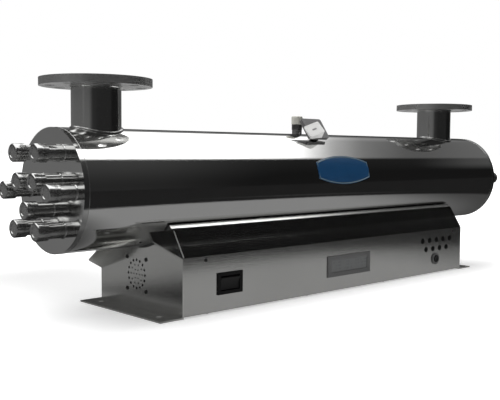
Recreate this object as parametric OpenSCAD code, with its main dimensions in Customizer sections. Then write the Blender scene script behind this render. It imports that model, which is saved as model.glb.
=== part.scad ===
// Horizontal ultraviolet water clarifier: a polished steel chamber with nine lamps
// lying on a low control cabinet. Millimetres, +Z up, origin on the floor under the
// middle of the chamber, X along the chamber, -Y towards the operator's panel.

/* [Chamber] */
// Outer diameter of the chamber tube
chamber_d = 219; // [210:1:225]
// Length over the two end plates
chamber_l = 1292; // [1240:2:1400]
// Wall thickness of the chamber tube
chamber_wall = 3; // [2:0.5:4]
// Thickness of the welded end plates
end_plate_t = 10; // [8:1:14]
// Height of the chamber axis above the floor
axis_h = 229; // [226:1:236]

/* [Ports] */
// Outer diameter of the port pipes
port_d = 89; // [84:1:92]
// Wall thickness of the port pipes
port_wall = 3; // [2:0.5:4]
// Distance of the inlet's axis from the left end of the chamber
inlet_inset = 91; // [85:1:120]
// Distance of the outlet's axis from the right end of the chamber
outlet_inset = 136; // [110:1:150]
// Outer diameter of the flanges
flange_d = 200; // [196:1:204]
// Thickness of the flanges
flange_t = 14; // [12:1:20]
// Height of the flange face above the chamber axis
flange_h = 197; // [185:1:210]
// Bolt circle of the flanges
flange_pcd = 160; // [158:1:162]
// Bolt holes in each flange
flange_bolts = 8; // [4:4:8]
// Diameter of the bolt holes
flange_hole_d = 18; // [16:1:19]

/* [Lamps] */
// Radius of the outer ring of lamps
ring_r = 75; // [72:1:78]
// Lamps in the outer ring
ring_lamps = 6; // [5:1:6]
// Lamps in the inner ring
inner_lamps = 3; // [2:1:3]
// Radius of the inner ring of lamps
inner_r = 32; // [30:1:34]
// Angle of the first lamp of the inner ring
inner_angle = 30; // [25:1:35]
// Outer diameter of the quartz sleeves
sleeve_d = 23; // [22:0.5:24]
// Diameter of the gland nuts
nut_d = 32; // [31:0.5:34]
// How far the gland nuts reach out from the end plate
nut_reach = 52; // [51:0.5:60]
// Length of a gland nut
nut_l = 22; // [20:0.5:30]

/* [Cabinet] */
// Depth of the cabinet, front to back
cab_depth = 263; // [255:1:270]
// Left face of the cabinet, from the middle of the chamber
cab_left = -462.5; // [-470:0.5:-455]
// Right face of the cabinet, from the middle of the chamber
cab_right = 444; // [436:1:450]
// Sheet thickness of the cover and the base
sheet_t = 1.5; // [1.2:0.1:2]
// Plate thickness of the end brackets
bracket_t = 3; // [2.5:0.5:4]
// Height of the front wall
front_h = 109; // [104:1:114]
// Height of the rear wall
rear_h = 65; // [60:1:70]
// Width of the bracket feet and lips
flange_w = 49; // [45:1:52]
// Diameter of the anchor holes in the feet
anchor_d = 11; // [9:1:13]
// Distance of the anchor holes from the middle, front to back
anchor_y = 95; // [85:1:105]

/* [Front panel] */
// Width of the power switch bezel
switch_w = 62; // [58:1:66]
// Height of the power switch bezel
switch_h = 41; // [38:1:43]
// Middle of the power switch along the cabinet
switch_x = -350.5; // [-360:0.5:-340]
// Width of the display bezel
display_w = 143; // [135:1:150]
// Height of the display bezel
display_h = 45; // [42:1:47]
// Spacing of the indicator lamps
led_pitch = 29.3; // [28:0.1:30]
// Diameter of the indicator lamps
led_d = 13; // [10:1:14]
// Diameter of the alarm button's collar
button_d = 28; // [26:0.5:30]
// Travel of the alarm button
button_travel = 3; // [2:0.5:4]

/* [Hidden] */

$fn = 64;
eps = 0.01;
steel = "silver";
satin = "darkgray";

chamber_r = chamber_d / 2;
chamber_bore = chamber_r - chamber_wall;
half_l = chamber_l / 2;
inlet_x = inlet_inset - half_l;
outlet_x = half_l - outlet_inset;
port_bore = port_d / 2 - port_wall;
port_floor = sqrt(pow(chamber_bore, 2) - pow(port_d / 2, 2));
baffle_xs = [-390, -130, 130, 390];
baffle_t = 3;

function ring_places(r, count, first) =
  [for (i = [0 : count - 1]) let (a = first + 360 * i / count) [r * cos(a), r * sin(a)]];
lamp_places = concat(ring_places(ring_r, ring_lamps, 0), ring_places(inner_r, inner_lamps, inner_angle));
lamp_count = len(lamp_places);
sleeve_r = sleeve_d / 2;
sleeve_wall = 1.5;
sleeve_end = half_l + 46;
socket_r = 13.2;
socket_bore = sleeve_r + 0.6;
socket_reach = 43;
o_ring_d = 1.7;
lamp_r = 7.5;
lamp_bore = 6.3;
lamp_end = half_l - 30;
base_l = 26;
base_r = 9.2;
base_hole_r = 1.5;
nut_wall = 5;
lead_hole_r = 4.5;

cab_y = cab_depth / 2;
saddle_r = chamber_r + 3;
front_angle = -146;
rear_angle = -65.6;
function trough_point(a) = [saddle_r * cos(a), axis_h + saddle_r * sin(a)];
slope_top = [-101.5, 157];
lip_top = trough_point(front_angle);
rear_slope_top = trough_point(rear_angle);
wall_pts = [[-cab_y, 0], [-cab_y, front_h], slope_top, lip_top, rear_slope_top, [cab_y, rear_h], [cab_y, 0]];
cover_x0 = cab_left + bracket_t;
cover_x1 = cab_right - bracket_t;
cover_l = cover_x1 - cover_x0;
base_z = bracket_t;
lip_cut = 38;
lip_drop = 0.05;

panel_y = -cab_y;
switch_z = 54.5;
display_x = -2.5;
display_z = 55.5;
led_x = 334.5;
led_z = 84;
led_row_drop = 21;
button_x = 330;
button_z = 37.5;
button_r = 9;
rocker_tilt = 8;
rocker_w = 46;
rocker_h = 27;
rocker_r = 11;

fan_y = 9;
fan_z = 65;
fan_size = 70;
fan_pitch = 61;
fan_depth = 25;
fan_bore = 31;
rotor_r = 29.5;
fan_blades = 7;

ballast_size = [160, 52, 36];
ballast_pitch = 172;
ballast_wall = 1.5;
stud_xs = [-380, 380];
stud_r = 4;
rail_t = 3;
rail_z = axis_h - chamber_r - 3 - sheet_t - rail_t;

sensor_x = -26;
sensor_angle = 66;
sensor_socket_r = 11;
sensor_socket_top = chamber_r + 9;
probe_top = chamber_r + 14;
plate_centre = [sensor_x, -50, axis_h + 122];
plate_tilt = 55;
plate_t = 8;
vent_x = -33;
vent_angle = 90;
vent_socket_r = 11;

name_x = 8;
name_w = 170;
name_lo = 0;
name_hi = 34;
name_bow = 13.5;
name_t = 0.8;

// Turns a shape built along +Z so that it runs along +X
module along_x() rotate([90, 0, 90]) children();

// Places its children at every lamp, in the plane across the chamber
module at_lamps(x = 0) {
  for (p = lamp_places) translate([x, p[0], axis_h + p[1]]) children();
}

// A tube along X from x0 to x1
module tube_x(x0, x1, r, bore) {
  translate([x0, 0, 0]) rotate([0, 90, 0]) difference() {
    cylinder(h = x1 - x0, r = r);
    translate([0, 0, -1]) cylinder(h = x1 - x0 + 2, r = bore);
  }
}

module rod_x(x0, x1, r) {
  translate([x0, 0, 0]) rotate([0, 90, 0]) cylinder(h = x1 - x0, r = r);
}

module rod_y(y0, y1, r) {
  translate([0, y1, 0]) rotate([90, 0, 0]) cylinder(h = y1 - y0, r = r);
}

// Moves its children to the chamber's surface at an angle above the front, pointing outwards
module on_chamber(x, angle) {
  translate([x, 0, axis_h]) rotate([90 - angle, 0, 0]) children();
}

// ---------- chamber ----------

module chamber_tube() color(steel) difference() {
  translate([0, 0, axis_h]) tube_x(end_plate_t - half_l, half_l - end_plate_t, chamber_r, chamber_bore);
  for (x = [inlet_x, outlet_x]) translate([x, 0, axis_h]) cylinder(h = 150, r = port_d / 2 + 0.02);
  on_chamber(sensor_x, sensor_angle) cylinder(h = 150, r = sensor_socket_r + 0.02);
  on_chamber(vent_x, vent_angle) cylinder(h = 150, r = vent_socket_r + 0.02);
}

// Welded disc that closes one end, drilled for the lamp sockets
module end_plate(side) color(steel) difference() {
  x0 = side < 0 ? -half_l : half_l - end_plate_t;
  translate([0, 0, axis_h]) rod_x(x0, x0 + end_plate_t, chamber_r);
  at_lamps() rod_x(x0 - 1, x0 + end_plate_t + 1, socket_r);
}
module end_plate_left() end_plate(-1);
module end_plate_right() end_plate(1);

// Sleeve supports, each with a window that sends the water to the other side
module baffle_plates() color(steel) for (i = [0 : len(baffle_xs) - 1]) {
  window_side = i % 2 == 0 ? 1 : -1;
  difference() {
    translate([0, 0, axis_h]) rod_x(baffle_xs[i] - baffle_t / 2, baffle_xs[i] + baffle_t / 2, chamber_bore);
    at_lamps() rod_x(baffle_xs[i] - 5, baffle_xs[i] + 5, sleeve_r + 0.4);
    translate([baffle_xs[i] - 5, -60, axis_h + window_side * 95 - 13]) cube([10, 120, 26]);
  }
}

// A port pipe saddled into the chamber wall, with the flange's bore around its top
module port_pipe(x) color(steel) difference() {
  translate([x, 0, axis_h + port_floor]) cylinder(h = flange_h - port_floor - 1, r = port_d / 2);
  translate([x, 0, axis_h]) cylinder(h = flange_h, r = port_bore);
  translate([0, 0, axis_h]) rod_x(x - 60, x + 60, chamber_bore);
}
module inlet_pipe() port_pipe(inlet_x);
module outlet_pipe() port_pipe(outlet_x);

// Plate flange with a ring of bolt holes straddling the centre lines
module port_flange(x) color(steel) translate([x, 0, axis_h + flange_h - flange_t]) difference() {
  cylinder(h = flange_t, r = flange_d / 2, $fn = 96);
  translate([0, 0, -1]) cylinder(h = flange_t + 2, r = port_d / 2);
  for (i = [0 : flange_bolts - 1]) rotate(360 * (i + 0.5) / flange_bolts)
    translate([flange_pcd / 2, 0, -1]) cylinder(h = flange_t + 2, r = flange_hole_d / 2, $fn = 32);
}
module inlet_flange() port_flange(inlet_x);
module outlet_flange() port_flange(outlet_x);

// ---------- lamps and their glands ----------

module gland_sockets(side) color(steel) at_lamps() {
  inner = side * (half_l - end_plate_t);
  outer = side * (half_l + socket_reach);
  tube_x(min(inner, outer), max(inner, outer), socket_r, socket_bore);
}
module gland_sockets_left() gland_sockets(-1);
module gland_sockets_right() gland_sockets(1);

// Round cap nut: it screws over the socket, squeezes the seal and shuts off the sleeve's end
module gland_nut(lead_hole) difference() {
  union() {
    translate([0, 0, nut_reach - nut_l]) cylinder(h = nut_l - 2, r = nut_d / 2);
    translate([0, 0, nut_reach - 2]) cylinder(h = 2, r1 = nut_d / 2, r2 = nut_d / 2 - 2);
  }
  translate([0, 0, nut_reach - nut_l - 1]) {
    cylinder(h = nut_l + 1 - nut_wall, r = sleeve_r + 0.4);
    cylinder(h = socket_reach + o_ring_d + 1 - nut_reach + nut_l, r = socket_r + 0.05);
  }
  if (lead_hole) cylinder(h = nut_reach + 1, r = lead_hole_r);
}

module gland_nuts_left() color(steel) at_lamps(-half_l) rotate([0, -90, 0]) gland_nut(false);
module gland_nuts_right() color(steel) at_lamps(half_l) rotate([0, 90, 0]) gland_nut(true);

module sleeve_o_rings() color("dimgray") for (side = [-1, 1])
  at_lamps(side * (half_l + socket_reach + o_ring_d / 2)) rotate([0, 90, 0])
    rotate_extrude($fn = 48) translate([sleeve_r + o_ring_d / 2, 0]) circle(d = o_ring_d, $fn = 24);

module quartz_sleeves() color("lightcyan") at_lamps()
  tube_x(-sleeve_end, sleeve_end, sleeve_r, sleeve_r - sleeve_wall);

module uv_lamps() color("white") at_lamps() tube_x(-lamp_end, lamp_end, lamp_r, lamp_bore);

// Ceramic caps on the lamp ends, bored for the leads
module lamp_bases() color("ivory") for (side = [-1, 1]) at_lamps() {
  x0 = side < 0 ? -lamp_end - base_l : lamp_end;
  tube_x(x0, x0 + base_l, base_r, base_hole_r);
}

// Rubber plugs in the right-hand nuts, bored for the lamp leads
module lead_grommets() color("dimgray") at_lamps(half_l) {
  tube_x(nut_reach - nut_wall, nut_reach, lead_hole_r - 0.02, 2.5);
}

// ---------- fittings on the chamber ----------

module sensor_socket() color(steel) on_chamber(sensor_x, sensor_angle) difference() {
  translate([0, 0, chamber_bore + 0.3])
    cylinder(h = sensor_socket_top - chamber_bore - 0.3, r = sensor_socket_r);
  cylinder(h = 200, r = 7);
}

module sensor_probe() color("dimgray") on_chamber(sensor_x, sensor_angle) {
  translate([0, 0, chamber_bore - 4]) cylinder(h = probe_top - chamber_bore + 4, r = 6.95);
}

// Middle of the sensor's back plate, its +Z pointing out of the plate
module sensor_place() translate(plate_centre) rotate([plate_tilt, 0, 0]) children();

module rounded_box(size, r) hull() for (x = [-1, 1], y = [-1, 1])
  translate([x * (size[0] / 2 - r), y * (size[1] / 2 - r), 0]) cylinder(h = size[2], r = r, $fn = 32);

// Pale housing of the light sensor, canted on its back plate
module sensor_head() color("whitesmoke") intersection() {
  sensor_place() translate([-22, -12, 12]) rotate([-plate_tilt, 0, 0]) rotate([plate_tilt, 0, -30])
    rotate([0, 0, 24]) translate([0, 0, -26]) rounded_box([38, 30, 26], 3);
  sensor_place() translate([-60, -50, 0]) cube([100, 100, 60]);
}

// Back plate, clamped between the socket and the housing
module sensor_collar() color("darkgray") difference() {
  sensor_place() translate([0, 0, -plate_t]) rounded_box([62, 51, plate_t], 5);
  on_chamber(sensor_x, sensor_angle) cylinder(h = probe_top + 0.02, r = 6.97);
  on_chamber(sensor_x, sensor_angle) cylinder(h = sensor_socket_top + 0.02, r = sensor_socket_r + 0.02);
}

module vent_socket() color(steel) on_chamber(vent_x, vent_angle) difference() {
  translate([0, 0, chamber_bore + 0.3]) cylinder(h = 12, r = vent_socket_r);
  cylinder(h = 200, r = 6);
}

// Dark hexagon plug of the air vent
module vent_plug() color("darkslategray") on_chamber(vent_x, vent_angle) {
  translate([0, 0, chamber_bore]) cylinder(h = 12.3, r = 5.95);
  translate([0, 0, chamber_bore + 12.3]) cylinder(h = 12, r = 12, $fn = 6);
}

module vent_cap() color("ivory") on_chamber(vent_x, vent_angle) translate([0, 0, chamber_bore + 24.3]) {
  cylinder(h = 17, r = 12.5);
  translate([0, 0, 17]) cylinder(h = 1.5, r1 = 12.5, r2 = 11);
}

// Curved plate on the front of the chamber, with bowed long edges and short straight ends
module name_plate() color("steelblue") {
  z_lo = axis_h + chamber_r * sin(name_lo);
  z_hi = axis_h + chamber_r * sin(name_hi);
  half_w = name_w / 2;
  bow_r = (half_w * half_w + name_bow * name_bow) / (2 * name_bow);
  intersection() {
    translate([0, 0, axis_h]) tube_x(name_x - half_w, name_x + half_w, chamber_r + name_t, chamber_r + 0.02);
    translate([name_x, 0, 0]) rotate([90, 0, 0]) linear_extrude(height = chamber_r + 2) intersection() {
      translate([0, z_hi - bow_r]) circle(r = bow_r, $fn = 180);
      translate([0, z_lo + bow_r]) circle(r = bow_r, $fn = 180);
    }
  }
}

// ---------- cradle ----------

// Part of a ring about the chamber's axis, between two angles below it
module trough_arc(r0, r1, a0, a1) translate([0, axis_h]) intersection() {
  difference() {
    circle(r = r1, $fn = 128);
    circle(r = r0, $fn = 128);
  }
  reach = 2 * r1;
  mid = (a0 + a1) / 2;
  polygon([[0, 0], [reach * cos(a0), reach * sin(a0)], [reach * cos(mid), reach * sin(mid)],
    [reach * cos(a1), reach * sin(a1)]]);
}

module saddle_strips() color("dimgray") for (x = [cab_left + 1, cab_right - 21])
  translate([x, 0, 0]) along_x() linear_extrude(height = 20)
    trough_arc(chamber_r, saddle_r - 0.1, front_angle + 3, rear_angle - 3);

// Studs welded under the chamber, passing down through the trough and a cross rail
module cradle_studs() color(steel) for (x = stud_xs) difference() {
  translate([x, 0, rail_z - 16]) cylinder(h = axis_h - chamber_r - rail_z + 18, r = stud_r);
  translate([0, 0, axis_h]) rod_x(x - 20, x + 20, chamber_r);
}

module cradle_rails() color(satin) for (x = stud_xs) difference() {
  translate([x - 20, -60, rail_z]) union() {
    cube([40, 120, rail_t]);
    translate([0, 0, -20]) cube([rail_t, 120, 20]);
  }
  translate([x, 0, 0]) cylinder(h = 200, r = stud_r + 0.4);
}

module cradle_nuts() color(steel) for (x = stud_xs) translate([x, 0, rail_z - 7]) difference() {
  cylinder(h = 7, r = 7.5, $fn = 6);
  translate([0, 0, -1]) cylinder(h = 9, r = stud_r);
}

// ---------- cabinet ----------

// Sum of the normals at each corner gives the mitred inner line of a folded sheet
function unit(v) = v / norm(v);
function left_normal(a, b) = let (d = unit(b - a)) [d[1], -d[0]];
function inset(pts, t) = [for (i = [0 : len(pts) - 1])
  let (n1 = left_normal(pts[max(i - 1, 0)], pts[max(i, 1)]),
       n2 = left_normal(pts[min(i, len(pts) - 2)], pts[min(i + 1, len(pts) - 1)]))
  pts[i] + t * (n1 + n2) / (1 + n1 * n2)];
function backwards(pts) = [for (i = [len(pts) - 1 : -1 : 0]) pts[i]];
module folded_strip(pts, t) polygon(concat(pts, backwards(inset(pts, t))));

// One sheet: front return, front wall, slope, upturned lip, trough under the chamber, rear slope, rear
// wall, return
trough_steps = 25;
return_w = 14;
cover_foot = base_z + sheet_t;
cover_line = concat(
  [[-cab_y + return_w, cover_foot], [-cab_y, cover_foot], [-cab_y, front_h], slope_top],
  [for (i = [0 : trough_steps]) trough_point(front_angle + (rear_angle - front_angle) * i / trough_steps)],
  [[cab_y, rear_h], [cab_y, cover_foot], [cab_y - return_w, cover_foot]]
);

module switch_cutout() translate([switch_x - 26, panel_y - 5, switch_z - 17]) cube([52, 20, 34]);
module display_cutout() translate([display_x - 64, panel_y - 5, display_z - 16]) cube([128, 20, 32]);

module at_leds() for (row = [0, 1]) for (i = [0 : 4 - row])
  translate([led_x + (i - 2 + row / 2) * led_pitch, panel_y, led_z - row * led_row_drop]) children();

module cabinet_cover() color(satin) difference() {
  translate([cover_x0, 0, 0]) along_x() linear_extrude(height = cover_l) folded_strip(cover_line, sheet_t);
  switch_cutout();
  display_cutout();
  at_leds() rod_y(-5, 5, 4);
  translate([button_x, panel_y, button_z]) rod_y(-5, 5, button_r + 2);
  for (x = stud_xs) translate([x, 0, 0]) cylinder(h = axis_h, r = stud_r + 0.5);
}

module bracket_outline() difference() {
  polygon(wall_pts);
  translate([0, axis_h]) circle(r = saddle_r + 0.1, $fn = 128);
}

// Lip bent outwards along one sloping edge, a hair below it, its lower corner cut back
module bracket_lip(x, low, high, mitre) {
  run = norm(high - low);
  slope = atan2(high[1] - low[1], high[0] - low[0]);
  translate([x, low[0], low[1]]) rotate([slope, 0, 0]) translate([-flange_w, 0, -bracket_t - lip_drop])
    linear_extrude(height = bracket_t)
      polygon([[flange_w, 0], [flange_w, run], [0, run], [0, mitre]]);
}

// The same lip along the rear slope
module rear_lip(x, mitre) {
  run = norm(rear_slope_top - [cab_y, rear_h]);
  slope = atan2(rear_slope_top[1] - rear_h, cab_y - rear_slope_top[0]);
  translate([x, cab_y, rear_h]) rotate([-slope, 0, 0]) translate([-flange_w, 0, -bracket_t - lip_drop])
    linear_extrude(height = bracket_t)
      polygon([[flange_w, 0], [flange_w, -run], [0, -run], [0, -mitre]]);
}

module anchor_holes(x) for (y = [-anchor_y, anchor_y])
  translate([x, y, -1]) cylinder(h = 10, r = anchor_d / 2);

module fan_place() translate([cab_left, fan_y, fan_z]) children();
module at_fan_corners() for (y = [-1, 1], z = [-1, 1])
  translate([0, y * fan_pitch / 2, z * fan_pitch / 2]) children();
// Radius, count and hole radius of each ring of the fan grille
grille_rings = [[0, 1, 1.6], [9, 6, 1.6], [18, 10, 1.8], [27, 16, 2.7]];

module left_bracket() color(satin) {
  difference() {
    translate([cab_left, 0, 0]) along_x() linear_extrude(height = bracket_t) bracket_outline();
    fan_place() at_fan_corners() rod_x(-5, 10, 2.2);
    fan_place() for (g = grille_rings) for (i = [0 : g[1] - 1]) rotate([360 * i / g[1], 0, 0])
      translate([0, g[0], 0]) rotate([0, 90, 0]) translate([0, 0, -5]) cylinder(h = 15, r = g[2], $fn = 24);
  }
  difference() {
    translate([cab_left - flange_w, -cab_y, 0]) cube([flange_w + eps, cab_depth, bracket_t]);
    anchor_holes(cab_left - flange_w / 2);
  }
  bracket_lip(cab_left + eps, [-cab_y, front_h], slope_top, lip_cut);
  rear_lip(cab_left + eps, lip_cut);
}

module right_bracket() color(satin) {
  difference() {
    translate([cab_right - bracket_t, 0, 0]) along_x() linear_extrude(height = bracket_t) bracket_outline();
    at_glands() rod_x(-10, 10, 6);
    mains_gland_place() rod_x(-10, 10, 9);
  }
  difference() {
    translate([cab_right - eps, -cab_y, 0]) cube([flange_w + eps, cab_depth, bracket_t]);
    anchor_holes(cab_right + flange_w / 2);
  }
}

module base_plate() color(satin) {
  translate([cover_x0, -cab_y + sheet_t, base_z]) cube([cover_l, cab_depth - 2 * sheet_t, sheet_t]);
}

module base_screws() for (x = [-400, -130, 130, 390], y = [-1, 1])
  translate([x, y * (cab_y - 8), base_z - 1.8]) cylinder(h = 1.8, r = 4, $fn = 24);
module cabinet_screws() color(steel) {
  base_screws();
  for (x = [-409, 409], side = [-1, 1]) {
    z = side < 0 ? front_h - 8 : rear_h - 8;
    y0 = side < 0 ? -cab_y - 2 : cab_y;
    translate([x, 0, z]) rod_y(y0, y0 + 2, 3.5);
  }
}

// ---------- front panel ----------

module switch_housing() color("black") difference() {
  union() {
    translate([switch_x - switch_w / 2, panel_y - 2.5, switch_z - switch_h / 2])
      cube([switch_w, 2.5, switch_h]);
    translate([switch_x - 25.8, panel_y, switch_z - 16.8]) cube([51.6, 26, 33.6]);
  }
  translate([switch_x - rocker_w / 2 - 0.5, panel_y - 5, switch_z - rocker_h / 2 - 0.5])
    cube([rocker_w + 1, 22, rocker_h + 1]);
  translate([switch_x, panel_y + 7, switch_z]) rod_x(-25, 25, 2.05);
}

// Wide rocker on a cross pin, tipped with its lower half pressed in
module power_rocker() color("dimgray") translate([switch_x, panel_y + 7, switch_z])
  rotate([rocker_tilt, 0, 0]) {
    rod_x(-24.5, 24.5, 2);
    difference() {
      intersection() {
        translate([-rocker_w / 2, -9.5, -rocker_h / 2 + 1]) cube([rocker_w, 13, rocker_h - 2]);
        translate([0, 0, 0]) rod_x(-rocker_w / 2, rocker_w / 2, 14.4);
      }
      translate([0, -9.5 - 38, 0]) rod_x(-rocker_w, rocker_w, 40);
    }
  }

module display_bezel() color("gray") difference() {
  union() {
    translate([display_x - display_w / 2, panel_y - 2, display_z - display_h / 2])
      cube([display_w, 2, display_h]);
    translate([display_x - 63.8, panel_y, display_z - 15.8]) cube([127.6, 12, 31.6]);
  }
  translate([display_x - 61, panel_y - 5, display_z - 13.5]) cube([122, 30, 27]);
}

module display_window() color("lightgray") translate([display_x - 60.95, panel_y - 0.8, display_z - 13.45])
  cube([121.9, 4, 26.9]);

module indicator_lenses() color("black") at_leds() {
  rod_y(-1.5, 0, led_d / 2);
  rod_y(0, 8, 3.95);
}

module indicator_board() color("darkgreen")
  translate([led_x - 78, panel_y + 8, led_z - led_row_drop - 12]) cube([156, 1.6, led_row_drop + 24]);

module button_place() translate([button_x, panel_y, button_z]) children();
module button_collar() color("dimgray") button_place() difference() {
  union() {
    rod_y(-3, 0, button_d / 2);
    rod_y(0, 18, button_r + 1.95);
  }
  rod_y(-5, 30, button_r + 0.05);
}

module button_nut() color("gray") button_place() difference() {
  rotate([90, 0, 0]) translate([0, 0, -6.5]) cylinder(h = 5, r = 16, $fn = 6);
  rod_y(-5, 20, button_r + 1.95);
}

module alarm_button() color("black") button_place() rod_y(-5.5, 14, button_r);

// ---------- cabinet contents ----------

module fan_frame() color("black") fan_place() translate([bracket_t, 0, 0]) {
  difference() {
    translate([0, -fan_size / 2, -fan_size / 2]) cube([fan_depth, fan_size, fan_size]);
    rod_x(-1, fan_depth - 4, fan_bore);
    difference() {
      rod_x(0, fan_depth + 1, fan_bore);
      rod_x(0, fan_depth + 1, 13);
      for (a = [45 : 90 : 315]) rotate([a, 0, 0]) translate([0, -2, 0]) cube([fan_depth, 4, fan_bore]);
    }
    at_fan_corners() rod_x(-1, fan_depth + 1, 2);
    rod_x(fan_depth - 5, fan_depth + 1, 2.05);
  }
}

// Hub with flat vanes twisted out of the plane, on a short shaft in the frame's spider
module fan_rotor() color("dimgray") fan_place() translate([bracket_t, 0, 0]) {
  rod_x(4, fan_depth - 5, 12);
  rod_x(fan_depth - 5, fan_depth, 2);
  for (i = [0 : fan_blades - 1]) rotate([360 * i / fan_blades, 0, 0])
    translate([12, 0, 11]) rotate([0, 0, 38]) translate([-6, -0.8, 0]) cube([12, 1.6, rotor_r - 11.5]);
}

module fan_screws() color(steel) fan_place() at_fan_corners() {
  rod_x(-2, 0, 4);
  rod_x(0, bracket_t + 12, 1.95);
}

// Row of thin sheet cases, each with a lead hole in both ends
module ballast_row(count, y) for (i = [0 : count - 1])
  translate([(i - (count - 1) / 2) * ballast_pitch, y, base_z + 2 * sheet_t]) difference() {
    translate([0, 0, ballast_size[2] / 2]) cube(ballast_size, center = true);
    translate([0, 0, ballast_size[2] / 2]) cube(ballast_size - 2 * ballast_wall * [1, 1, 1], center = true);
    translate([0, 0, ballast_size[2] / 2]) rod_x(-ballast_size[0], ballast_size[0], 5);
  }
module ballasts() color("gainsboro") {
  ballast_row(ceil(lamp_count / 2), -72);
  ballast_row(floor(lamp_count / 2), 72);
}

module ballast_tray() color(satin)
  translate([-430, -100, base_z + sheet_t]) cube([860, 200, sheet_t]);

module terminal_block() color("darkslategray") for (i = [0 : 11])
  translate([120 + i * 9, -14, base_z + 2 * sheet_t]) cube([8.5, 28, 30]);

module at_glands() for (i = [0 : lamp_count - 1])
  translate([cab_right, -90 + 34 * (i % 5), 42 + 26 * floor(i / 5)]) children();
module mains_gland_place() translate([cab_right, 88, 40]) children();
module gland(r, hole, reach) difference() {
  union() {
    rod_x(-bracket_t - 6, 0, r);
    rod_x(0, 5, r + 4, $fn = 6);
    rod_x(5, reach, r + 2);
  }
  rod_x(-20, reach + 1, hole);
}
module cable_glands() color("dimgray") {
  at_glands() gland(5.95, 3, 18);
  mains_gland_place() gland(8.95, 5, 22);
}

module earth_stud() color("gold") translate([cab_right, 88, 16]) {
  rod_x(0, 16, 3);
  rod_x(0, 3, 6, $fn = 6);
}

chamber_tube();
end_plate_left();
end_plate_right();
baffle_plates();
inlet_pipe();
outlet_pipe();
inlet_flange();
outlet_flange();
gland_sockets_left();
gland_sockets_right();
gland_nuts_left();
gland_nuts_right();
sleeve_o_rings();
quartz_sleeves();
uv_lamps();
lamp_bases();
lead_grommets();
sensor_socket();
sensor_probe();
sensor_head();
sensor_collar();
vent_socket();
vent_plug();
vent_cap();
name_plate();
saddle_strips();
cradle_studs();
cradle_rails();
cradle_nuts();
cabinet_cover();
left_bracket();
right_bracket();
base_plate();
cabinet_screws();
switch_housing();
power_rocker();
display_bezel();
display_window();
indicator_lenses();
indicator_board();
button_collar();
button_nut();
alarm_button();
fan_frame();
fan_rotor();
fan_screws();
ballasts();
ballast_tray();
terminal_block();
cable_glands();
earth_stud();
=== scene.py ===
"""Looks for the horizontal UV water clarifier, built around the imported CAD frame.

Metres, in the frame's own axes: X along the chamber, -Y towards the operator's panel, +Z up.
"""

import math

import bmesh
import bpy
from mathutils import Matrix, Vector


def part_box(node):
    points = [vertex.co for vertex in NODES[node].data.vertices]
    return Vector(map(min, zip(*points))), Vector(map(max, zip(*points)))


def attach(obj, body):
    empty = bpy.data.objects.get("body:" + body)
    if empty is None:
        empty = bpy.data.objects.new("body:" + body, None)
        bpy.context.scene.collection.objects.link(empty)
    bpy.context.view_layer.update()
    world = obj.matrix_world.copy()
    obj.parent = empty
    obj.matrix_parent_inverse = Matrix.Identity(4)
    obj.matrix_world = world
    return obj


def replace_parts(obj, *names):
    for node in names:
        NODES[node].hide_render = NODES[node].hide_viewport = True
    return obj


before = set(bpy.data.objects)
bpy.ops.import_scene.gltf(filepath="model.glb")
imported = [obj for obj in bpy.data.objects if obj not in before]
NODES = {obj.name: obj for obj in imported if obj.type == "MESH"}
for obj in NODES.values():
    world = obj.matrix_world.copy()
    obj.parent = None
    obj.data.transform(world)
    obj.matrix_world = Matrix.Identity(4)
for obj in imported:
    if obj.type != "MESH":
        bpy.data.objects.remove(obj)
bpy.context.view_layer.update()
MM = 0.001
SHARP_DEG = 35


# ---------- measures, all taken from the frame ----------

TUBE_LO, TUBE_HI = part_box("chamber_tube")
CHAMBER_R = (TUBE_HI.z - TUBE_LO.z) / 2
AXIS_Z = (TUBE_HI.z + TUBE_LO.z) / 2


# ---------- material helpers ----------

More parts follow.
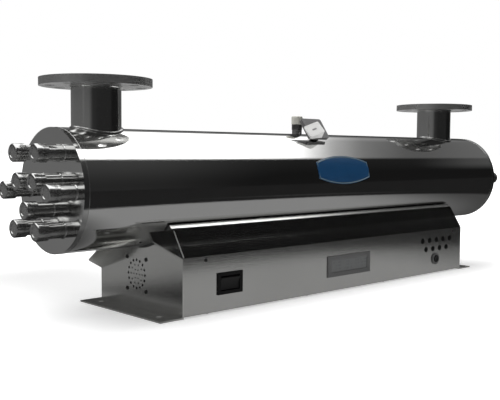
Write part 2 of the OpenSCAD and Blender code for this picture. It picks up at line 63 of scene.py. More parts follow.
class Graph:
    """A material's node tree, with short calls for the nodes used here."""

    def __init__(self, name):
        self.mat = bpy.data.materials.new(name)
        self.mat.use_nodes = True
        self.tree = self.mat.node_tree
        self.tree.nodes.clear()
        self.out = self.node("ShaderNodeOutputMaterial")
        self.coord = self.node("ShaderNodeTexCoord").outputs["Object"]

    def node(self, kind, **inputs):
        made = self.tree.nodes.new(kind)
        for key, value in inputs.items():
            self.feed(made.inputs[key.replace("_", " ")], value)
        return made

    def feed(self, socket, value):
        if isinstance(value, bpy.types.NodeSocket):
            self.tree.links.new(value, socket)
        else:
            socket.default_value = value

    def math(self, op, a, b=0.0):
        made = self.tree.nodes.new("ShaderNodeMath")
        made.operation = op
        for socket, value in zip(made.inputs, (a, b)):
            self.feed(socket, value)
        return made.outputs[0]

    def scaled(self, scale):
        """Object coordinates stretched by a factor along each axis."""
        made = self.node("ShaderNodeMapping", Vector=self.coord)
        made.inputs["Scale"].default_value = scale
        return made.outputs[0]

    def noise(self, scale, detail=3.0, rough=0.5, vector=None):
        made = self.node("ShaderNodeTexNoise", Scale=scale, Detail=detail, Roughness=rough)
        self.feed(made.inputs["Vector"], vector or self.coord)
        return made.outputs[0]

    def ramp(self, fac, stops):
        made = self.node("ShaderNodeValToRGB", Fac=fac)
        ramp = made.color_ramp
        while len(ramp.elements) < len(stops):
            ramp.elements.new(0.5)
        for element, (place, colour) in zip(ramp.elements, stops):
            element.position = place
            element.color = (*colour, 1.0)
        return made.outputs[0]

    def span(self, fac, lo, hi):
        """A 0 to 1 value laid over lo to hi."""
        made = self.node("ShaderNodeMapRange", Value=fac)
        made.inputs["To Min"].default_value = lo
        made.inputs["To Max"].default_value = hi
        return made.outputs[0]

    def mix(self, fac, a, b):
        made = self.tree.nodes.new("ShaderNodeMix")
        made.data_type = "RGBA"
        self.feed(made.inputs[0], fac)
        self.feed(made.inputs[6], (*a, 1.0) if isinstance(a, tuple) else a)
        self.feed(made.inputs[7], (*b, 1.0) if isinstance(b, tuple) else b)
        return made.outputs[2]

    def bump(self, height, strength, distance, normal=None):
        made = self.node("ShaderNodeBump", Height=height, Strength=strength, Distance=distance)
        if normal:
            self.feed(made.inputs["Normal"], normal)
        return made.outputs[0]

    def principled(self, **inputs):
        made = self.node("ShaderNodeBsdfPrincipled")
        for key, value in inputs.items():
            self.feed(made.inputs[key.replace("_", " ")], value)
        self.tree.links.new(made.outputs[0], self.out.inputs[0])
        return self.mat


def grey(value, tint=(1.0, 1.0, 1.0)):
    return tuple(value * t for t in tint)


# ---------- materials ----------

def mirror_steel(name, base, rough, grain, wave=0.0, metallic=1.0):
    """Polished steel: a faint polishing grain, soft smears and a very slight waviness."""
    g = Graph(name)
    fine = g.noise(1.0, 2.0, 0.6, g.scaled(grain))
    smear = g.noise(9.0, 4.0, 0.55)
    colour = g.mix(smear, grey(base * 0.93, (1.0, 1.0, 0.985)), grey(base, (1.0, 1.0, 0.99)))
    roughness = g.math("ADD", g.span(fine, rough * 0.6, rough * 1.3), g.span(smear, 0.0, rough * 0.7))
    normal = g.bump(fine, 0.05, 0.0004)
    if wave:
        normal = g.bump(g.noise(7.0, 1.0, 0.3), wave, 0.01, normal)
    return g.principled(Base_Color=colour, Metallic=metallic, Roughness=roughness, Normal=normal)


def satin_steel(name, base, rough, grain, metallic=0.9):
    """Brushed sheet: long fine scratches, cloudy handling marks and a varying gloss."""
    g = Graph(name)
    fine = g.noise(1.0, 3.0, 0.65, g.scaled(grain))
    cloud = g.noise(6.0, 4.0, 0.6)
    tone = g.math("ADD", g.math("MULTIPLY", fine, 0.35), g.math("MULTIPLY", cloud, 0.65))
    colour = g.mix(tone, grey(base * 0.86, (1.0, 1.0, 0.965)), grey(base * 1.1, (1.0, 1.0, 0.98)))
    roughness = g.math("ADD", g.span(fine, rough * 0.85, rough * 1.15), g.span(cloud, -0.02, 0.03))
    return g.principled(Base_Color=colour, Metallic=metallic, Roughness=roughness,
                        Normal=g.bump(fine, 0.10, 0.0005))


def plastic(name, base, rough, grain=900.0, tint=(1.0, 1.0, 1.0), bump=0.15, coat=0.0, shine=0.5):
    """Moulded plastic: fine grain in the surface, slight dust in the colour."""
    g = Graph(name)
    cloud = g.noise(35.0, 4.0, 0.6)
    fine = g.noise(grain, 2.0, 0.5)
    colour = g.mix(cloud, grey(base * 0.85, tint), grey(base * 1.15, tint))
    return g.principled(Base_Color=colour, Roughness=g.span(cloud, rough * 0.85, rough * 1.15),
                        Coat_Weight=coat, Specular_IOR_Level=shine, Normal=g.bump(fine, bump, 0.0003))


def clear_glass(name, tint, alpha, rough):
    g = Graph(name)
    cloud = g.noise(20.0, 2.0, 0.5)
    colour = g.mix(cloud, grey(0.92, tint), grey(1.0, tint))
    g.mat.surface_render_method = "BLENDED"
    return g.principled(Base_Color=colour, Roughness=g.span(cloud, rough, rough * 2), IOR=1.46,
                        Alpha=alpha)


CHAMBER_STEEL = mirror_steel("chamber_steel", 0.74, 0.045, (60.0, 900.0, 900.0), 0.02)
PLATE_STEEL = mirror_steel("plate_steel", 0.60, 0.08, (500.0, 500.0, 60.0), 0.03)
PORT_STEEL = mirror_steel("port_steel", 0.55, 0.10, (900.0, 900.0, 120.0))
FLANGE_STEEL = mirror_steel("flange_steel", 0.50, 0.20, (12.0, 12.0, 12.0), metallic=0.92)
NUT_STEEL = mirror_steel("nut_steel", 0.42, 0.16, (60.0, 500.0, 500.0), metallic=0.97)
# Pale steel, only partly metallic, for the slope's rolled edge: its diffuse part paints the bend's highlight
# as a light line.
EDGE_HIGHLIGHT_STEEL = mirror_steel("edge_steel_painted_highlight", 0.85, 0.4, (300.0, 300.0, 300.0), metallic=0.6)
SCREW_STEEL = mirror_steel("screw_steel", 0.14, 0.35, (300.0, 300.0, 300.0))
WELD_STEEL = mirror_steel("weld_steel", 0.6, 0.16, (700.0, 700.0, 700.0), 0.1)
CABINET_STEEL = satin_steel("cabinet_steel", 0.73, 0.12, (40.0, 900.0, 900.0), metallic=0.98)
BRACKET_STEEL = satin_steel("bracket_steel", 0.80, 0.17, (900.0, 900.0, 40.0), metallic=0.98)
INNER_STEEL = satin_steel("inner_steel", 0.42, 0.4, (120.0, 120.0, 120.0))
QUARTZ = clear_glass("quartz", (0.95, 0.99, 1.0), 0.25, 0.02)
LAMP_GLASS = clear_glass("lamp_glass", (0.95, 0.97, 1.0), 0.8, 0.05)
CERAMIC = plastic("lamp_ceramic", 0.8, 0.5, 400.0, (1.0, 0.98, 0.92))
RUBBER = plastic("rubber", 0.03, 0.7, 1400.0)
BLUE = plastic("label_blue", 0.10, 0.30, 700.0, (0.05, 0.38, 1.0), 0.05, 0.3)
RIM_BLUE = plastic("label_rim", 0.16, 0.3, 700.0, (0.55, 0.85, 1.0), 0.05, 0.3)
PALE = plastic("head_plastic", 0.62, 0.4, 900.0, (1.0, 1.0, 0.98))
IVORY = plastic("cap_ivory", 0.50, 0.4, 900.0, (1.0, 0.99, 0.9))
PROBE = plastic("probe_black", 0.03, 0.45)
SWITCH = plastic("switch_black", 0.006, 0.6, 1600.0, shine=0.2)
ROCKER = plastic("rocker_black", 0.008, 0.5, shine=0.3)
BEZEL = plastic("bezel_grey", 0.10, 0.4)
MARK = plastic("mark_grey", 0.2, 0.5)
LENS = plastic("lens_dark", 0.004, 0.4, 500.0, bump=0.02, shine=0.12)
BOARD = plastic("board_green", 0.1, 0.5, 600.0, (0.15, 1.0, 0.35))
BUTTON = plastic("button_black", 0.01, 0.4, shine=0.3)
FAN = plastic("fan_black", 0.02, 0.5)
BALLAST = plastic("ballast_white", 0.65, 0.5, 500.0)
GLAND = plastic("gland_black", 0.03, 0.5)
BRASS = mirror_steel("brass", 0.7, 0.2, (300.0, 300.0, 300.0))


def display_panel():
    """Silver-grey window with faint rows behind it."""
    g = Graph("display_window")
    split = g.node("ShaderNodeSeparateXYZ", Vector=g.coord)
    rows = g.math("SINE", g.math("MULTIPLY", split.outputs[2], 2 * math.pi / 0.0068))
    cells = g.noise(1.0, 2.0, 0.5, g.scaled((160.0, 1.0, 25.0)))
    mark = g.math("MULTIPLY", g.math("GREATER_THAN", rows, 0.2), g.math("GREATER_THAN", cells, 0.52))
    colour = g.mix(mark, grey(0.15, (0.97, 1.0, 1.0)), grey(0.115, (0.97, 1.0, 1.0)))
    return g.principled(Base_Color=colour, Roughness=g.span(g.noise(40.0), 0.2, 0.3), Metallic=0.15)


WINDOW = display_panel()

LOOKS = {
    CHAMBER_STEEL: ["chamber_tube"],
    PLATE_STEEL: ["end_plate_left", "end_plate_right"],
    PORT_STEEL: ["inlet_pipe", "outlet_pipe"],
    FLANGE_STEEL: ["inlet_flange", "outlet_flange"],
    NUT_STEEL: ["gland_sockets_left", "gland_sockets_right", "gland_nuts_left", "gland_nuts_right",
                "sensor_socket", "vent_socket", "cabinet_screws", "fan_screws"],
    CABINET_STEEL: ["cabinet_cover"],
    BRACKET_STEEL: ["left_bracket", "right_bracket"],
    INNER_STEEL: ["baffle_plates", "cradle_studs", "cradle_rails", "cradle_nuts", "base_plate",
                  "button_nut", "ballast_tray"],
    QUARTZ: ["quartz_sleeves"],
    LAMP_GLASS: ["uv_lamps"],
    CERAMIC: ["lamp_bases"],
    RUBBER: ["sleeve_o_rings", "lead_grommets", "saddle_strips"],
    BLUE: ["name_plate"],
    PALE: ["sensor_head"],
    IVORY: ["vent_cap"],
    BEZEL: ["sensor_collar", "display_bezel", "button_collar"],
    PROBE: ["sensor_probe", "vent_plug"],
    SWITCH: ["switch_housing"],
    ROCKER: ["power_rocker"],
    WINDOW: ["display_window"],
    LENS: ["indicator_lenses"],
    BOARD: ["indicator_board"],
    BUTTON: ["alarm_button"],
    FAN: ["fan_frame", "fan_rotor"],
    BALLAST: ["ballasts"],
    GLAND: ["terminal_block", "cable_glands"],
    BRASS: ["earth_stud"],
}
for look, names in LOOKS.items():
    for name in names:
        for place in range(len(NODES[name].data.materials)):
            NODES[name].data.materials[place] = look


# ---------- rounded edges ----------

EDGES = {
    "cabinet_cover": 1.0, "left_bracket": 0.8, "right_bracket": 0.8,
    "inlet_flange": 1.0, "outlet_flange": 1.0, "end_plate_left": 1.0, "end_plate_right": 1.0,
    "display_bezel": 0.6, "switch_housing": 0.8, "power_rocker": 0.6, "button_collar": 0.8,
    "sensor_head": 1.2, "sensor_collar": 0.8, "cable_glands": 0.5,
}
for name, width in EDGES.items():
    edge = NODES[name].modifiers.new("edges", "BEVEL")
    edge.width = width * MM
    edge.segments = 2
    edge.limit_method = "ANGLE"
    edge.angle_limit = math.radians(SHARP_DEG)


# ---------- mesh helpers ----------

def piece(name, verts, faces, look, body="frame", slot=None):
    """A mesh piece in the frame's axes that rides on a body."""
    mesh = bpy.data.meshes.new(name)
    mesh.from_pydata([tuple(v) for v in verts], [], faces)
    mesh.validate()
    bm = bmesh.new()
    bm.from_mesh(mesh)
    bmesh.ops.recalc_face_normals(bm, faces=bm.faces)
    bm.to_mesh(mesh)
    bm.free()
    mesh.shade_smooth()
    mesh.set_sharp_from_angle(angle=math.radians(SHARP_DEG))
    mesh.materials.append(look)
    made = bpy.data.objects.new(name, mesh)
    bpy.context.scene.collection.objects.link(made)
    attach(made, body)
    return made


def joined(parts):
    """Several (verts, faces) lists as one."""
    verts, faces = [], []
    for part_verts, part_faces in parts:
        start = len(verts)
        verts += part_verts
        faces += [tuple(i + start for i in face) for face in part_faces]
    return verts, faces


def swept(path, radius, sides=10):
    """A bead of round section along a closed path."""
    verts, faces = [], []
    count = len(path)
    for i, point in enumerate(path):
        along = (path[(i + 1) % count] - path[i - 1]).normalized()
        out = (point - sum(path, Vector()) / count)
        out = (out - along * out.dot(along)).normalized()
        side = along.cross(out)
        for k in range(sides):
            a = 2 * math.pi * k / sides
            verts.append(point + (out * math.cos(a) + side * math.sin(a)) * radius)
    for i in range(count):
        for k in range(sides):
            a, b = i * sides, ((i + 1) % count) * sides
            faces.append((a + k, b + k, b + (k + 1) % sides, a + (k + 1) % sides))
    return verts, faces


def ring_path(centre_at, axis, radius, steps=96):
    axis = Vector(axis).normalized()
    first = axis.orthogonal().normalized()
    second = axis.cross(first)
    return [Vector(centre_at) + (first * math.cos(t) + second * math.sin(t)) * radius
            for t in (2 * math.pi * k / steps for k in range(steps))]


def turned(base, axis, profile, steps=40, flute=None):
    """A profile of (distance along, radius) turned about an axis from its base point. A radius of
    zero closes an end; flute(k) scales the radius at each step."""
    axis = Vector(axis).normalized()
    first = axis.orthogonal().normalized()
    second = axis.cross(first)
    verts, rings = [], []
    for along, radius in profile:
        point = Vector(base) + axis * along
        if radius == 0:
            verts.append(point)
            rings.append([len(verts) - 1] * steps)
            continue
        ring = []
        for k in range(steps):
            t = 2 * math.pi * k / steps
            wide = radius * (flute(k) if flute else 1.0)
            verts.append(point + (first * math.cos(t) + second * math.sin(t)) * wide)
            ring.append(len(verts) - 1)
        rings.append(ring)
    faces = []
    for lower, upper in zip(rings, rings[1:]):
        for k in range(steps):
            n = (k + 1) % steps
            face = []
            for i in (lower[k], lower[n], upper[n], upper[k]):
                if i not in face:
                    face.append(i)
            if len(face) > 2:
                faces.append(tuple(face))
    return verts, faces


def islands(node):
    """(lowest, highest) corner of every separate solid in a node, in a steady order."""
    thing = NODES[node]
    bm = bmesh.new()
    bm.from_mesh(thing.data)
    bm.transform(thing.matrix_world)
    bmesh.ops.remove_doubles(bm, verts=bm.verts, dist=1e-6)
    seen, found = set(), []
    for start in bm.verts:
        if start in seen:
            continue
        stack, group = [start], []
        seen.add(start)
        while stack:
            vert = stack.pop()
            group.append(vert.co.copy())
            for edge in vert.link_edges:
                other = edge.other_vert(vert)
                if other not in seen:
                    seen.add(other)
                    stack.append(other)
        lo = Vector(min(v[i] for v in group) for i in range(3))
        hi = Vector(max(v[i] for v in group) for i in range(3))
        found.append((lo, hi))
    bm.free()
    return sorted(found, key=lambda pair: tuple(round(c, 5) for c in pair[0]))


# ---------- welds on the chamber ----------

PLATE_JOINTS = {"left": TUBE_LO.x, "right": TUBE_HI.x}
for side, x in PLATE_JOINTS.items():
    verts, faces = swept(ring_path((x, 0, AXIS_Z), (1, 0, 0), CHAMBER_R - 0.1 * MM, 160), 0.4 * MM)
    piece(f"end_seam_{side}", verts, faces, WELD_STEEL, slot="polished_steel")

for port in ("inlet", "outlet"):
    lo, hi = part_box(f"{port}_pipe")
    middle, radius = (lo + hi) / 2, (hi.x - lo.x) / 2
    saddle = []
    for k in range(120):
        t = 2 * math.pi * k / 120
        reach = radius + 1.2 * MM
        y = reach * math.sin(t)
        saddle.append(Vector((middle.x + reach * math.cos(t), y,
                              AXIS_Z + math.sqrt((CHAMBER_R + 0.8 * MM) ** 2 - y * y))))
    verts, faces = swept(saddle, 2.6 * MM, 12)
    piece(f"{port}_saddle_weld", verts, faces, WELD_STEEL, slot="polished_steel")
    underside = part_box(f"{port}_flange")[0].z
    around = ring_path((middle.x, 0, underside - 0.3 * MM), (0, 0, 1), radius + 0.6 * MM)
    piece(f"{port}_flange_weld", *swept(around, 2.0 * MM), WELD_STEEL, slot="polished_steel")


# ---------- gland nuts and their welds ----------

def nut_profile(length, radius, bore, hole):
    """Turned cap nut: chamfered rim, two grip grooves, a stepped face, and the bore behind."""
    groove = radius - 0.8 * MM
    back = [(0, bore), (0, radius - 0.8 * MM), (0.8 * MM, radius)]
    grip = []
    for at in (0.30, 0.42):
        grip += [(length * at - 0.7 * MM, radius), (length * at - 0.4 * MM, groove),
                 (length * at + 0.4 * MM, groove), (length * at + 0.7 * MM, radius)]
    face = [(length - 2 * MM, radius), (length - 0.8 * MM, radius - 0.7 * MM), (length, radius - 2 * MM),
            (length, radius * 0.55), (length - 0.9 * MM, radius * 0.50)]
    inside = [(length - 0.9 * MM, hole), (length - 4.9 * MM, hole)] if hole else [(length - 0.9 * MM, 0)]
    return back + grip + face + inside


for side, out in (("left", -1), ("right", 1)):
    nuts, seams = [], []
    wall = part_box(f"end_plate_{side}")[0 if out < 0 else 1].x
    sockets = islands(f"gland_sockets_{side}")
    neck = (sockets[0][1].y - sockets[0][0].y) / 2
    for lo, hi in islands(f"gland_nuts_{side}"):
        middle = (lo + hi) / 2
        base = Vector((hi.x if out < 0 else lo.x, middle.y, middle.z))
        hole = 0 if out < 0 else 4.45 * MM
        nuts.append(turned(base, (out, 0, 0), nut_profile(hi.x - lo.x, (hi.y - lo.y) / 2, neck, hole), 48))
        around = ring_path((wall, middle.y, middle.z), (1, 0, 0), neck + 0.3 * MM, 40)
        seams.append(swept(around, 1.3 * MM, 8))
    made = piece(f"cap_nuts_{side}", *joined(nuts), NUT_STEEL, slot="nut_steel")
    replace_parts(made, f"gland_nuts_{side}")
    piece(f"socket_welds_{side}", *joined(seams), WELD_STEEL, slot="nut_steel")


# ---------- screws, lenses, button, cap ----------

def screw_heads(node, name, look, slot_name, shank=0.0):
    """Domed socket heads in place of a node's plain discs, shank and all."""
    parts = []
    for lo, hi in islands(node):
        size, middle = hi - lo, (lo + hi) / 2
        axis_at = min(range(3), key=lambda i: size[i]) if not shank else 0
        radius = max(size[i] for i in range(3) if i != axis_at) / 2
        out = -1 if middle[axis_at] < 0 or axis_at == 2 else 1
        axis = Vector((0, 0, 0))
        axis[axis_at] = out
        base = middle.copy()
        base[axis_at] = lo[axis_at] if out > 0 else hi[axis_at]
        tall = size[axis_at]
        head = min(tall, 2 * MM)
        profile = [(tall - head, shank), (tall - head, radius),
                   (tall - head * 0.6, radius), (tall - head * 0.25, radius * 0.86),
                   (tall, radius * 0.6), (tall, radius * 0.42),
                   (tall - head * 0.6, radius * 0.38), (tall - head * 0.6, 0)]
        if shank:
            profile = [(0, 0), (0, shank)] + profile
        parts.append(turned(base, axis, profile, 24))
    made = piece(name, *joined(parts), look, slot=slot_name)
    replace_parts(made, node)


screw_heads("cabinet_screws", "cabinet_screw_heads", SCREW_STEEL, "nut_steel")
screw_heads("fan_screws", "fan_screw_heads", SCREW_STEEL, "nut_steel", 1.95 * MM)

lenses = []
for lo, hi in islands("indicator_lenses"):
    middle, radius = (lo + hi) / 2, (hi.x - lo.x) / 2
    proud = 1.5 * MM
    profile = [(0, 0), (0, 3.9 * MM), (hi.y - lo.y - proud, 3.9 * MM), (hi.y - lo.y - proud, radius),
               (hi.y - lo.y - proud * 0.5, radius), (hi.y - lo.y - proud * 0.35, radius * 0.86),
               (hi.y - lo.y - proud * 0.45, radius * 0.74), (hi.y - lo.y - proud * 0.2, radius * 0.5),
               (hi.y - lo.y - proud * 0.04, radius * 0.25), (hi.y - lo.y, 0)]
    lenses.append(turned((middle.x, hi.y, middle.z), (0, -1, 0), profile, 28))
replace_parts(piece("indicator_domes", *joined(lenses), LENS, slot="lens_dark"), "indicator_lenses")

lo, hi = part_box("alarm_button")
middle, radius, tall = (lo + hi) / 2, (hi.x - lo.x) / 2, hi.y - lo.y
profile = [(0, 0), (0, radius), (tall - 1.2 * MM, radius), (tall - 0.4 * MM, radius - 0.4 * MM),
           (tall, radius - 1.2 * MM), (tall, radius - 1.8 * MM), (tall - 0.8 * MM, radius * 0.5),
           (tall - 1.1 * MM, 0)]
verts, faces = turned((middle.x, hi.y, middle.z), (0, -1, 0), profile, 40)
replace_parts(piece("dished_button", verts, faces, BUTTON, "button", "button_black"), "alarm_button")

lo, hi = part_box("vent_cap")
middle, radius, tall = (lo + hi) / 2, (hi.x - lo.x) / 2, hi.z - lo.z
profile = [(0, 0), (0, radius * 0.95), (0.6 * MM, radius), (tall - 3 * MM, radius),
           (tall - 1.4 * MM, radius * 0.97), (tall - 0.4 * MM, radius * 0.88), (tall, radius * 0.74),
           (tall - 0.5 * MM, radius * 0.66), (tall - 0.5 * MM, 0)]
verts, faces = turned((middle.x, middle.y, lo.z), (0, 0, 1), profile, 72, lambda k: 1.0 if k % 3 else 0.955)
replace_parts(piece("fluted_cap", verts, faces, IVORY, slot="cap_ivory"), "vent_cap")


# ---------- marks on the sensor's lid ----------

def facing(node, direction):
    """Middle and normal of the flat face of a node that looks nearest to a direction."""
    thing, aim = NODES[node], Vector(direction).normalized()
    turn = thing.matrix_world.to_3x3()
    best = max(((turn @ f.normal).normalized().dot(aim) for f in thing.data.polygons))
    flat = [f for f in thing.data.polygons if (turn @ f.normal).normalized().dot(aim) > best - 1e-4]
    area = sum(f.area for f in flat)
    middle = sum((thing.matrix_world @ f.center * f.area for f in flat), Vector()) / area
    return middle, (turn @ flat[0].normal).normalized()


LID_MIDDLE, LID_OUT = facing("sensor_head", (-0.41, -0.71, 0.57))
level = Vector((0, 0, 1)).cross(LID_OUT).normalized()
ROLL = math.radians(24)
LID_ALONG = level * math.cos(ROLL) + LID_OUT.cross(level) * math.sin(ROLL)
LID_UP = LID_OUT.cross(LID_ALONG)


def stadium(length, radius, lift, steps=12):
    """Outline with round ends, laid on the lid."""
    outline = []
    for end in (1, -1):
        for k in range(steps + 1):
            t = math.pi * (k / steps - 0.5)
            outline.append(LID_MIDDLE + LID_OUT * lift
                           + LID_ALONG * end * (length / 2 - radius + radius * math.cos(t))
                           + LID_UP * end * radius * math.sin(t))
    return outline


SIGHT_LENGTH, SIGHT_R = 11 * MM, 1.9 * MM
low, high = stadium(SIGHT_LENGTH, SIGHT_R, -0.3 * MM), stadium(SIGHT_LENGTH, SIGHT_R, 0.35 * MM)
count = len(low)
slot_faces = [tuple(range(count, 2 * count)), tuple(range(count - 1, -1, -1))]
slot_faces += [(k, (k + 1) % count, (k + 1) % count + count, k + count) for k in range(count)]
piece("sensor_sight", low + high, slot_faces, MARK, slot="bezel_grey")
LID_HALF = (16.2 * MM, 12.2 * MM)
lid = []
for k in range(48):
    t = 2 * math.pi * k / 48
    c, n = math.cos(t), math.sin(t)
    across = math.copysign(abs(c) ** 0.35, c) * LID_HALF[0]
    up = math.copysign(abs(n) ** 0.35, n) * LID_HALF[1]
    lid.append(LID_MIDDLE + LID_ALONG * across + LID_UP * up - LID_OUT * 0.1 * MM)
piece("sensor_lid_bead", *swept(lid, 0.5 * MM, 8), PALE, slot="head_plastic")


# ---------- rolled edge of the cover's slope, beside the left bracket, in pale half-matte steel that paints the bend's highlight ---

cover = NODES["cabinet_cover"]
end_points = [cover.matrix_world @ v.co for v in cover.data.vertices]
end_x = min(p.x for p in end_points)
end_points = [p for p in end_points if p.x < end_x + 0.1 * MM]


def farthest(degrees):
    """Corner of the cover's end that reaches farthest in a direction, in degrees above the front."""
    t = math.radians(degrees)
    return max(end_points, key=lambda p: p.z * math.sin(t) - p.y * math.cos(t))


bend, ridge = farthest(15), farthest(37)
run = (ridge - bend).normalized()
length = (ridge - bend).length - 2 * MM
profile = [(0, 0), (0.3 * MM, 0.5 * MM), (0.8 * MM, 0.7 * MM), (length - 0.8 * MM, 0.7 * MM),
           (length - 0.3 * MM, 0.5 * MM), (length, 0)]
# A thin rolled edge along the bend. Its pale, half-matte steel paints a highlight along the whole edge.
piece("slope_edge_painted_highlight", *turned(bend + run * MM, run, profile, 16), EDGE_HIGHLIGHT_STEEL, slot="satin_steel")


# ---------- rim of the blue plate ----------

lo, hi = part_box("name_plate")
middle, half_w, half_h = (lo + hi) / 2, (hi.x - lo.x) / 2, (hi.z - lo.z) / 2
BOW = 13.5 * MM
bow_r = (half_w * half_w + BOW * BOW) / (2 * BOW)
INSET = 2.2 * MM
outline = []
for k in range(49):
    x = (half_w - INSET) * (1 - k / 24)
    outline.append((x, half_h - INSET - bow_r + math.sqrt(bow_r ** 2 - x * x)))
outline += [(x, -z) for x, z in reversed(outline)]
rim = []
for x, z in outline:
    high = middle.z + z - AXIS_Z
    rim.append(Vector((middle.x + x, -math.sqrt((CHAMBER_R + 0.9 * MM) ** 2 - high * high), AXIS_Z + high)))
piece("name_plate_rim", *swept(rim, 1.0 * MM, 8), RIM_BLUE, slot="label_blue")


# ---------- studio ----------

def step(g, value, lo, hi):
    """0 at lo to 1 at hi, with soft ends."""
    made = g.node("ShaderNodeMapRange", Value=value)
    made.interpolation_type = "SMOOTHSTEP"
    made.inputs["From Min"].default_value = lo
    made.inputs["From Max"].default_value = hi
    return made.outputs[0]


def side_glow(g, x, y):
    """Brightness of the room's left side: light behind, falling off towards the camera."""
    slope = g.math("DIVIDE", y, g.math("MAXIMUM", g.math("MULTIPLY", x, -1.0), 0.05))
    return g.math("ADD", g.math("MULTIPLY", step(g, slope, -0.95, -0.40), 0.15),
                  g.math("MULTIPLY", step(g, slope, -3.0, -0.9), 0.04))


TABLE_HALF, TABLE_GREY = 1.15, 0.28


def table_glow(g, place, depth, loss):
    """A grey ellipse on the floor, dimmer towards its right end."""
    x, y = g.math("DIVIDE", place[0], TABLE_HALF), g.math("DIVIDE", place[1], depth)
    reach = g.math("SQRT", g.math("ADD", g.math("MULTIPLY", x, x), g.math("MULTIPLY", y, y)))
    dim = g.math("SUBTRACT", 1.0, g.math("MULTIPLY", step(g, place[0], 0.30, 0.95), loss))
    return g.math("MULTIPLY", g.math("MULTIPLY", step(g, reach, 1.12, 1.0), TABLE_GREY), dim)


def make_floor():
    """Pale floor. What the polished steel mirrors of it is a small grey table in a dark room."""
    mesh = bpy.data.meshes.new("floor")
    size = 40.0
    corners = [(-size, -size, 0), (size, -size, 0), (size, size, 0), (-size, size, 0)]
    mesh.from_pydata(corners, [], [(0, 1, 2, 3)])
    floor = bpy.data.objects.new("floor", mesh)
    floor.location.z = -0.0005
    bpy.context.scene.collection.objects.link(floor)
    g = Graph("floor_paper")
    paper = g.node("ShaderNodeBsdfDiffuse", Color=g.mix(g.noise(60.0), grey(0.86), grey(0.9)))
    glow = g.node("ShaderNodeEmission", Color=(1.0, 1.0, 1.0, 1.0), Strength=0.45)
    lit = g.tree.nodes.new("ShaderNodeAddShader")
    g.tree.links.new(paper.outputs[0], lit.inputs[0])
    g.tree.links.new(glow.outputs[0], lit.inputs[1])
    place = g.node("ShaderNodeSeparateXYZ", Vector=g.coord).outputs
    steep = table_glow(g, place, 0.42, 0.80)
    low = table_glow(g, place, 0.57, 0.70)
    incoming = g.tree.nodes.new("ShaderNodeNewGeometry").outputs["Incoming"]
    incoming = g.node("ShaderNodeSeparateXYZ", Vector=incoming)
    grazing = step(g, incoming.outputs[2], 0.32, 0.18)
    table = g.math("ADD", g.math("MULTIPLY", low, grazing),
                   g.math("MULTIPLY", steep, g.math("SUBTRACT", 1.0, grazing)))
    table = g.math("MULTIPLY", table, step(g, place[0], -0.60, -0.42))
    inside = g.math("MAXIMUM", grazing, step(g, place[0], -0.42, -0.30))
    rear = g.math("MULTIPLY", step(g, place[1], 0.08, 0.35), g.math("MULTIPLY", inside, 0.19))
    left = g.math("MULTIPLY", side_glow(g, place[0], place[1]), step(g, place[0], -0.40, -0.58))
    shade = g.math("MULTIPLY", step(g, place[1], -0.17, -0.09), step(g, place[0], -0.95, -0.75))
    left = g.math("MULTIPLY", left, g.math("SUBTRACT", 1.0, shade))
    far = g.math("MULTIPLY", step(g, place[1], 0.8, 1.6),
                 g.math("MULTIPLY", step(g, place[0], 0.3, 1.2), 0.3))
    tone = g.math("ADD", g.math("MAXIMUM", table, g.math("MAXIMUM", rear, left)),
                  g.math("ADD", far, 0.016))
    seen = g.node("ShaderNodeEmission", Color=(1.0, 1.0, 1.0, 1.0), Strength=tone)
    rays = g.tree.nodes.new("ShaderNodeLightPath")
    both = g.tree.nodes.new("ShaderNodeMixShader")
    g.feed(both.inputs[0], rays.outputs["Is Glossy Ray"])
    g.tree.links.new(lit.outputs[0], both.inputs[1])
    g.tree.links.new(seen.outputs[0], both.inputs[2])
    g.tree.links.new(both.outputs[0], g.out.inputs[0])
    mesh.materials.append(g.mat)


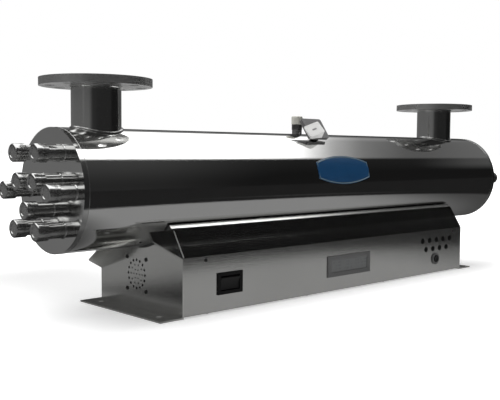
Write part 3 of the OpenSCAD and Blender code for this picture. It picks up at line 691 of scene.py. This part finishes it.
def make_world():
    """A long soft box overhead, softer walls behind, and a dark room in front."""
    world = bpy.data.worlds.new("studio")
    world.use_nodes = True
    g = Graph.__new__(Graph)
    g.tree = world.node_tree
    g.tree.nodes.clear()
    g.out = g.node("ShaderNodeOutputWorld")
    direction = g.node("ShaderNodeTexCoord").outputs["Generated"]
    split = g.node("ShaderNodeSeparateXYZ", Vector=direction)
    x, y, z = split.outputs[0], split.outputs[1], split.outputs[2]

    turn = g.math("MULTIPLY", g.math("ARCTAN2", z, g.math("MULTIPLY", y, -1.0)), 180 / math.pi)
    across = g.math("SQRT", g.math("ADD", g.math("MULTIPLY", y, y), g.math("MULTIPLY", z, z)))
    ratio = g.math("DIVIDE", g.math("ABSOLUTE", x), g.math("MAXIMUM", across, 0.001))
    box = g.math("MULTIPLY", step(g, turn, 57.0, 64.0), step(g, turn, 150.0, 134.0))
    reach = g.math("DIVIDE", ratio, 2.0)
    fade = g.ramp(reach, [(0.46, grey(1.0)), (0.52, grey(0.72)), (0.55, grey(0.44)), (0.58, grey(0.19)),
                          (0.625, grey(0.085)), (0.70, grey(0.04)), (1.0, grey(0.02))])
    box = g.math("MULTIPLY", box, fade)
    back = g.math("MULTIPLY", step(g, y, 0.15, 0.6), step(g, z, -0.5, 0.05))
    back = g.math("MULTIPLY", back, step(g, z, 0.75, 0.35))
    total = g.math("MULTIPLY", box, 2.6)
    gap = g.math("MULTIPLY", step(g, z, 0.06, 0.12), step(g, z, 0.35, 0.25))
    gap = g.math("SUBTRACT", 1.0, g.math("MULTIPLY", gap, 0.8))
    near = g.math("ADD", 0.012, g.math("MULTIPLY", step(g, ratio, 1.05, 0.65), 0.03))
    near = g.math("MULTIPLY", near, g.math("ADD", 0.6, g.math("MULTIPLY", step(g, turn, 5.0, 60.0), 0.8)))
    low_left = g.math("MULTIPLY", step(g, x, 0.0, -0.2), step(g, z, 0.45, 0.2))
    side = g.math("MULTIPLY", side_glow(g, x, y), low_left)
    end = g.math("MULTIPLY", step(g, turn, 18.0, 46.0), g.math("MULTIPLY", step(g, ratio, 1.35, 1.80), 0.09))
    low = g.math("MULTIPLY", g.math("MAXIMUM", g.math("MULTIPLY", back, 0.18), side), gap)
    low = g.math("MAXIMUM", low, g.math("MAXIMUM", near, end))
    total = g.math("ADD", total, g.math("MAXIMUM", low, 0.010))
    rays = g.tree.nodes.new("ShaderNodeLightPath")
    strength = g.math("ADD", g.math("MULTIPLY", rays.outputs["Is Camera Ray"], 1.0),
                      g.math("MULTIPLY", total, g.math("SUBTRACT", 1.0, rays.outputs["Is Camera Ray"])))
    shade = g.node("ShaderNodeBackground", Color=(1.0, 1.0, 1.0, 1.0), Strength=strength)
    g.tree.links.new(shade.outputs[0], g.out.inputs[0])
    bpy.context.scene.world = world


def make_flags():
    """Black strips that keep the overhead light out of the cabinet's front slope and off the left end
    of its rear slope. They are seen only from below and only in reflections."""
    lo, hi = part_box("cabinet_cover")
    height = lo.z + 0.166
    for name, y0, y1, x1 in (("flag_front", -0.205, -0.1428, hi.x + 0.25),
                             ("flag_middle", -0.1412, -0.1012, hi.x + 0.25),
                             ("flag_rear", 0.10, 0.70, lo.x + 0.30)):
        mesh = bpy.data.meshes.new(name)
        mesh.from_pydata([(lo.x - 0.2, y0, height), (x1, y0, height), (x1, y1, height),
                          (lo.x - 0.2, y1, height)], [], [(0, 1, 2, 3)])
        g = Graph(name)
        sides = g.tree.nodes.new("ShaderNodeNewGeometry")
        black = g.node("ShaderNodeBsdfDiffuse", Color=(0.002, 0.002, 0.002, 1.0))
        clear = g.node("ShaderNodeBsdfTransparent")
        both = g.tree.nodes.new("ShaderNodeMixShader")
        g.feed(both.inputs[0], sides.outputs["Backfacing"])
        g.tree.links.new(clear.outputs[0], both.inputs[1])
        g.tree.links.new(black.outputs[0], both.inputs[2])
        g.tree.links.new(both.outputs[0], g.out.inputs[0])
        mesh.materials.append(g.mat)
        flag = bpy.data.objects.new(name, mesh)
        bpy.context.scene.collection.objects.link(flag)
        flag.visible_camera = False
        flag.visible_diffuse = False


def make_camera():
    """The photograph's viewpoint: low, from the left front, looking along the chamber."""
    yaw, pitch, roll = math.radians(43.307), math.radians(3.670), math.radians(0.426)
    ahead = Vector((math.sin(yaw) * math.cos(pitch), math.cos(yaw) * math.cos(pitch), -math.sin(pitch)))
    right = Vector((math.cos(yaw), -math.sin(yaw), 0.0))
    up = right.cross(ahead)
    side = right * math.cos(roll) + up * math.sin(roll)
    top = up * math.cos(roll) - right * math.sin(roll)
    data = bpy.data.cameras.new("camera")
    data.sensor_width = 36.0
    data.lens = 36.0 * 771.93 / 500.0
    camera = bpy.data.objects.new("camera", data)
    bpy.context.scene.collection.objects.link(camera)
    turn = Matrix((side, top, -ahead)).transposed()
    camera.matrix_world = Matrix.Translation((-1.3046, -1.1971, 0.3007)) @ turn.to_4x4()
    bpy.context.scene.camera = camera


make_floor()
make_world()
make_flags()
make_camera()
bpy.context.scene.view_settings.view_transform = "Standard"
